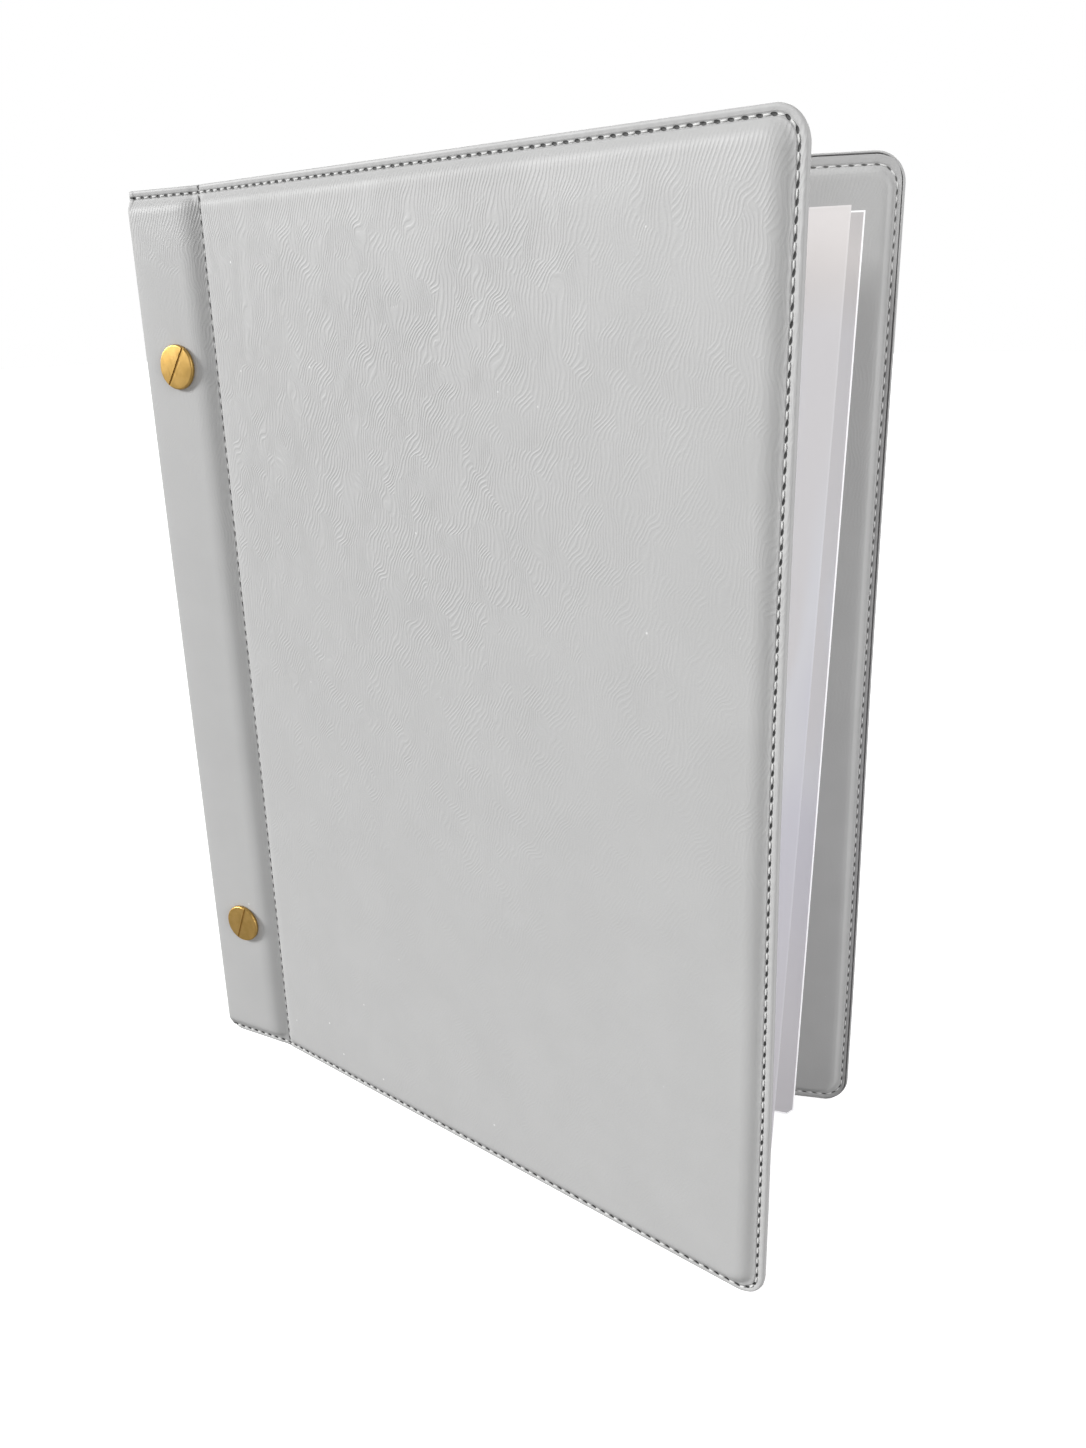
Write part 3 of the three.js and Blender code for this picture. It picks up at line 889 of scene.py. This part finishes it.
# tone, alpha and share of the bright edge line of each leaf's film; the rear leaf's lower tone is painted
# shade
filmTones = {"film": (1.0, 0.82, 0.12), "rearFilm": (0.72, 0.9, 1.0)}
# distances from a leaf's free edge and from its nearer end, in millimetres
rimKeys = ("rimFree", "rimEnds")


def filmMaterial(name, tone, alpha, edgeShare):
    material, tree, shader, place = newMaterial(name)
    parts = addNode(tree, "ShaderNodeSeparateXYZ")
    tree.links.new(place, parts.inputs[0])
    height = parts.outputs["Z"]
    drift = noise(tree, stretched(tree, place, film["driftStretch"]), film["driftScale"], 2.0, 0.5, 0.6)
    tones = {key: tuple(tone * c for c in film[key]) for key in ("clear", "warm", "cool", "low")}
    color = mixColor(tree, rangeMap(tree, drift, *film["coolShare"]), tones["clear"], tones["cool"])
    warmTop = rangeMap(tree, height, *film["warmHeight"])
    warm = times(tree, warmTop, rangeMap(tree, drift, *film["warmShare"]))
    patches = times(tree, rangeMap(tree, drift, *film["warmPatches"]), film["patchMost"])
    color = mixColor(tree, maths(tree, "MAXIMUM", warm, patches), color, tones["warm"])
    # the film turns darker and a little pinker towards the bottom; the darkening is painted shade
    lowShare = times(tree, rangeMap(tree, height, *film["lowHeight"]), film["lowMost"])
    color = mixColor(tree, lowShare, color, tones["low"])
    rims = [addNode(tree, "ShaderNodeAttribute", attribute_name=key).outputs["Fac"] for key in rimKeys]
    edge = rangeMap(tree, maths(tree, "MINIMUM", *rims), *film["rim"], 0.0, edgeShare)
    color = mixColor(tree, edge, color, film["edge"])
    tree.links.new(color, shader.inputs["Base Color"])
    tree.links.new(rangeMap(tree, edge, 0.0, 1.0, alpha, film["edgeAlpha"]), shader.inputs["Alpha"])
    # painted light: the film glows a little, though it is no lamp, and glows less near the top
    dimPaintedLight = tuple(film["dimShare"] * c for c in tones["clear"])
    paintedLightColor = mixColor(tree, rangeMap(tree, height, *film["dimHeight"]), color, dimPaintedLight)
    tree.links.new(paintedLightColor, shader.inputs["Emission Color"])
    shader.inputs["Emission Strength"].default_value = film["paintedGlow"]
    shader.inputs["Roughness"].default_value = film["roughness"]
    bump(tree, shader, times(tree, drift, film["driftDepth"]))
    return material


def plainMaterial(name, light, dark, scale, depth, roughness):
    material, tree, shader, place = newMaterial(name)
    fibres = noise(tree, place, scale, 4.0, 0.65)
    color = mixColor(tree, rangeMap(tree, fibres, 0.35, 0.65), dark, light)
    tree.links.new(color, shader.inputs["Base Color"])
    shader.inputs["Roughness"].default_value = roughness
    bump(tree, shader, times(tree, fibres, depth))
    return material


finishes = {
    "outer": leatherMaterial("outerLeather", leathers["outer"]),
    "lining": leatherMaterial("liningLeather", leathers["lining"]),
    "thread": threadMaterial(),
    "brass": brassMaterial(),
    "film": filmMaterial("clearFilm", *filmTones["film"]),
    "rearFilm": filmMaterial("rearClearFilm", *filmTones["rearFilm"]),
    "board": plainMaterial("greyboard", (0.36, 0.33, 0.29), (0.28, 0.26, 0.22), 900.0, 0.05, 0.9),
    "foam": plainMaterial("thinFoam", (0.86, 0.86, 0.83), (0.78, 0.78, 0.75), 1500.0, 0.08, 0.95),
}


def dress(piece, finish):
    piece.data.materials.clear()
    piece.data.materials.append(finishes[finish])


for side in covers:
    dress(skins[side], "outer")
    dress(linings[side], "lining")
for piece in threads:
    dress(piece, "thread")
for name, node in frame["nodes"].items():
    for key, finish in (("board", "board"), ("padding", "foam")):
        if name.endswith(key):
            for index in range(len(node.material_slots)):
                node.material_slots[index].material = finishes[finish]
print("leather, thread and core finishes made")


# screws and posts: turned brass with a sawn slot in the screw's head
screwHead = {
    "radius": 7.15, "height": 1.5, "rounding": 0.55, "brim": 0.25, "sunk": 0.12,
    "slotWidth": 1.0, "slotDepth": 0.3, "steps": 72,
}
# radius and length of each shank
shanks = {"screw": (1.6, 8.5), "post": (2.5, 10.5)}
slotAngles = {"lower": 21.0, "upper": 33.0}


def turned(profile, facing, centre):
    # profile of (radius, distance outwards) spun about the screw's axis along y
    bm = bmesh.new()
    verts = [bm.verts.new((r, facing * d, 0)) for r, d in profile]
    edges = [bm.edges.new(pair) for pair in zip(verts, verts[1:])]
    bmesh.ops.spin(bm, geom=verts + edges, cent=(0, 0, 0), axis=(0, 1, 0), angle=2 * math.pi,
                   steps=screwHead["steps"], use_merge=True, use_duplicate=False)
    bmesh.ops.remove_doubles(bm, verts=bm.verts, dist=0.0005)
    bmesh.ops.recalc_face_normals(bm, faces=bm.faces)
    bmesh.ops.translate(bm, verts=bm.verts, vec=centre)
    bmesh.ops.scale(bm, verts=bm.verts, vec=(mm, mm, mm))
    return bm


def headProfile(shankRadius, shankLength):
    # head and shank as (radius, distance outwards), from the head's middle to the shank's
    r, t, f, brim = [screwHead[key] for key in ("radius", "height", "rounding", "brim")]
    rim = [(r - f + f * math.sin(a), t - f + f * math.cos(a)) for a in np.linspace(0, math.pi / 2, 6)]
    shank = [(shankRadius, 0.0), (shankRadius, -shankLength), (0.0, -shankLength)]
    return [(0.0, t), *rim, (r, brim), (r - brim, 0.0), *shank]


def cutSlot(piece, centre, angle):
    cutter = bmesh.new()
    bmesh.ops.create_cube(cutter, size=1)
    size = (screwHead["slotWidth"], 2 * screwHead["slotDepth"], 3 * screwHead["radius"])
    bmesh.ops.scale(cutter, verts=cutter.verts, vec=size)
    bmesh.ops.rotate(cutter, verts=cutter.verts, matrix=Matrix.Rotation(math.radians(angle), 3, "Y"))
    bmesh.ops.translate(cutter, verts=cutter.verts, vec=centre)
    bmesh.ops.scale(cutter, verts=cutter.verts, vec=(mm, mm, mm))
    tool = addObject("slotCutter", cutter)
    modifier = piece.modifiers.new("slot", "BOOLEAN")
    modifier.object = tool
    modifier.operation = "DIFFERENCE"
    modifier.solver = "EXACT"
    bpy.context.view_layer.update()
    cut = bpy.data.meshes.new_from_object(piece.evaluated_get(bpy.context.evaluated_depsgraph_get()))
    piece.modifiers.clear()
    piece.data = cut
    bpy.data.objects.remove(tool)


def finishTurned(piece, node):
    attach(piece, "binding")
    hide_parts(node)
    dress(piece, "brass")
    piece.data.shade_smooth()
    piece.data.set_sharp_from_angle(angle=math.radians(50))


screwY = stripLow.y / mm - screwHead["sunk"]
postY = backStripHigh.y / mm + screwHead["sunk"]
for end, angle in slotAngles.items():
    low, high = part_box(f"{end}_screw")
    centreX, centreZ = (low.x + high.x) / 2 / mm, (low.z + high.z) / 2 / mm
    screw = addObject(f"{end}Screw", turned(headProfile(*shanks["screw"]), -1, (centreX, screwY, centreZ)))
    cutSlot(screw, (centreX, screwY - screwHead["height"], centreZ), angle)
    finishTurned(screw, f"{end}_screw")
    post = addObject(f"{end}Post", turned(headProfile(*shanks["post"]), 1, (centreX, postY, centreZ)))
    finishTurned(post, f"{end}_post")
print("screws and posts made")


# display pockets: a clamped block, and two leaves that stand free between the covers
pockets = {
    "pivotX": 31.0, "low": 9.2, "high": 294.9, "blockThickness": 1.6, "blockLeft": 2.0, "blockRight": 30.5,
    "thickness": 0.3, "weldX": 8.0, "weldSpread": 3.0, "cornerCut": 2.2, "blockRim": 0.42,
    "columns": 44, "gutterColumns": 6, "rows": 48,
}
leaves = {
    # reach and angle of the free edge at the top and at the bottom, bow, and place across the block;
    # follow is how far the leaf goes with the back cover, at the bottom and at the top
    "A": {
        "topReach": 200.0, "topAngle": 5.6, "lowReach": 193.6, "lowAngle": 1.1,
        "bow": 0.3, "offset": -0.35, "follow": (0.16, 0.402),
    },
    "B": {
        "topReach": 201.0, "topAngle": 11.49, "lowReach": 194.7, "lowAngle": 9.3,
        "bow": -0.3, "offset": 0.35, "follow": (0.56, 0.654),
    },
}
blockY = (stripHigh.y + backStripLow.y) / 2 / mm
leafHeight = pockets["high"] - pockets["low"]


def pocketBlock():
    bm = bmesh.new()
    bmesh.ops.create_grid(bm, x_segments=10, y_segments=24, size=0.5)
    width = pockets["blockRight"] - pockets["blockLeft"]
    for v in bm.verts:
        x = spineX + pockets["blockLeft"] + (v.co.x + 0.5) * width
        v.co = (x, blockY - pockets["blockThickness"] / 2, pockets["low"] + (v.co.y + 0.5) * leafHeight)
    bmesh.ops.solidify(bm, geom=bm.faces[:], thickness=-pockets["blockThickness"])
    bmesh.ops.recalc_face_normals(bm, faces=bm.faces)
    bmesh.ops.scale(bm, verts=bm.verts, vec=(mm, mm, mm))
    piece = addObject("pocketBlock", bm)
    for key in rimKeys:
        paintField(piece, key, np.full(len(piece.data.vertices), pockets["blockRim"]))
    return piece


def leafSheet(name, leaf, inner, outer):
    # a stretch of one leaf, from inner to outer shares of its reach, with narrow rows beside its free edges
    columns, rows = pockets["columns" if outer == 1 else "gutterColumns"], pockets["rows"]
    bm = bmesh.new()
    bmesh.ops.create_grid(bm, x_segments=columns, y_segments=rows, size=0.5)
    rimFree, rimEnds = [bm.verts.layers.float.new(key) for key in rimKeys]
    for v in bm.verts:
        u = inner + (outer - inner) * (v.co.x + 0.5)
        t = v.co.y + 0.5
        if outer == 1 and round((0.5 - v.co.x) * columns) == 1:
            u = 1 - pockets["cornerCut"] / leaf["topReach"]
        if round((0.5 + v.co.y) * rows) == 1:
            t = pockets["cornerCut"] / leafHeight
        if round((0.5 - v.co.y) * rows) == 1:
            t = 1 - pockets["cornerCut"] / leafHeight
        reach = leaf["lowReach"] + (leaf["topReach"] - leaf["lowReach"]) * t
        angle = math.radians(leaf["lowAngle"] + (leaf["topAngle"] - leaf["lowAngle"]) * t)
        z = pockets["low"] + leafHeight * t
        # the lower free corner is cut away a little
        fromEnd, fromLow = (1 - u) * reach, z - pockets["low"]
        short = max(pockets["cornerCut"] - fromEnd - fromLow, 0) / 2
        z += short
        reach -= short
        bow = leaf["bow"] * math.sin(math.pi * u) * math.sin(math.pi * (0.2 + 0.6 * t))
        x = pockets["pivotX"] + u * reach * math.cos(angle) - bow * math.sin(angle)
        y = blockY + leaf["offset"] + u * reach * math.sin(angle) + bow * math.cos(angle)
        v.co = (spineX + x, y, z)
        v[rimFree] = fromEnd
        v[rimEnds] = min(fromLow, pockets["high"] - z)
    bmesh.ops.solidify(bm, geom=bm.faces[:], thickness=pockets["thickness"])
    bmesh.ops.translate(bm, verts=bm.verts, vec=(0, -pockets["thickness"] / 2, 0))
    bmesh.ops.recalc_face_normals(bm, faces=bm.faces)
    bmesh.ops.scale(bm, verts=bm.verts, vec=(mm, mm, mm))
    return addObject(name, bm)


block = pocketBlock()
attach(block, "binding")
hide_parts("display_pockets")
dress(block, "film")
for key, leaf in leaves.items():
    weld = pockets["weldX"] / leaf["topReach"]
    lowShare, topShare = leaf["follow"]
    rise = (topShare - lowShare) / leafHeight
    gutter = leafSheet(f"pocketGutter{key}", leaf, -0.01, weld)
    # the bend spreads from the block to the weld, where it meets the share of the leaf at each height
    spread = (pockets["weldX"] + pockets["weldSpread"]) / topShare
    slope = Vector((1 / spread, 0, rise))
    start = Vector((spineX + pockets["pivotX"] + pockets["weldX"] - lowShare * spread, 0, pockets["low"]))
    end = start + slope / slope.length_squared
    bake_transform(gutter)
    sheetPiece = leafSheet(f"pocketLeaf{key}", leaf, weld, 1.0)
    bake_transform(sheetPiece)
    for piece in (gutter, sheetPiece):
        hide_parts("display_pockets")
        dress(piece, "film" if key == "A" else "rearFilm")
print("display pockets made")


# plain pale floor and soft studio light
studio = {
    "floorSize": 14.0, "floorSeen": (0.92, 0.92, 0.92), "floorBounce": (0.42, 0.42, 0.42), "floorGlow": 0.62,
    "worldSeen": 1.0, "worldLight": 0.36,
    "keyFrom": (-0.79, -0.494, 0.36), "keyStrength": 3.9, "keySpread": 16.0,
    "rearFrom": (-0.35, 0.88, 0.32), "rearStrength": 1.7, "rearSpread": 50.0,
    "sideFrom": (0.95, -0.2, 0.25), "sideStrength": 2.3, "sideSpread": 40.0,
}


def makeFloor():
    # the camera sees the floor paler than the light it throws back
    bm = bmesh.new()
    bmesh.ops.create_grid(bm, x_segments=4, y_segments=4, size=studio["floorSize"] / 2)
    floor = addObject("studioFloor", bm)
    material, tree, shader, place = newMaterial("studioFloor")
    tone = noise(tree, place, 3.0, 2.0)
    seen = addNode(tree, "ShaderNodeLightPath").outputs["Is Camera Ray"]
    paper = mixColor(tree, tone, tuple(0.985 * c for c in studio["floorSeen"]), studio["floorSeen"])
    tree.links.new(mixColor(tree, seen, studio["floorBounce"], paper), shader.inputs["Base Color"])
    shader.inputs["Emission Color"].default_value = (1, 1, 1, 1)
    tree.links.new(times(tree, seen, studio["floorGlow"]), shader.inputs["Emission Strength"])
    shader.inputs["Roughness"].default_value = 0.9
    shader.inputs["Specular IOR Level"].default_value = 0.1
    floor.data.materials.append(material)


def makeSun(key):
    data = bpy.data.lights.new(f"{key}Sun", "SUN")
    data.energy = studio[f"{key}Strength"]
    data.angle = math.radians(studio[f"{key}Spread"])
    lamp = bpy.data.objects.new(f"{key}Sun", data)
    lamp.rotation_euler = (-Vector(studio[f"{key}From"])).to_track_quat("-Z", "Y").to_euler()
    bpy.context.scene.collection.objects.link(lamp)


def makeWorld():
    world = bpy.data.worlds.new("studioWorld")
    world.use_nodes = True
    tree = world.node_tree
    seen = addNode(tree, "ShaderNodeLightPath").outputs["Is Camera Ray"]
    extra = times(tree, seen, studio["worldSeen"] - studio["worldLight"])
    background = tree.nodes["Background"]
    tree.links.new(plus(tree, extra, studio["worldLight"]), background.inputs["Strength"])
    background.inputs["Color"].default_value = (1, 1, 1, 1)
    bpy.context.scene.world = world


makeFloor()
makeWorld()
for key in ("key", "side", "rear"):
    makeSun(key)
bpy.context.scene.view_settings.view_transform = "Standard"
print("stage and lights made")


# camera of the photograph: focal length in pixels, place in millimetres from the front strip's lower corner
camera = {
    "focal": 1201.9,
    "imageSize": (1086, 1448),
    "sensor": 36.0,
    "place": (321.82, -303.28, 270.83),
    "forward": (-0.46634, 0.82339, -0.32337),
    "right": (0.87404, 0.48522, -0.02497),
    "up": (-0.13635, 0.29428, 0.94594),
}


def makeCamera():
    data = bpy.data.cameras.new("photoCamera")
    data.sensor_width = camera["sensor"]
    data.lens = camera["focal"] / max(camera["imageSize"]) * camera["sensor"]
    data.clip_start = 0.01
    data.clip_end = 20
    eye = bpy.data.objects.new("photoCamera", data)
    axes = Matrix([camera["right"], camera["up"], [-c for c in camera["forward"]]]).transposed().to_4x4()
    frontY = stripLow.y / mm
    place = Vector((camera["place"][0] + spineX, camera["place"][1] + frontY, camera["place"][2])) * mm
    eye.matrix_world = Matrix.Translation(place) @ axes
    bpy.context.scene.collection.objects.link(eye)
    bpy.context.scene.camera = eye


makeCamera()
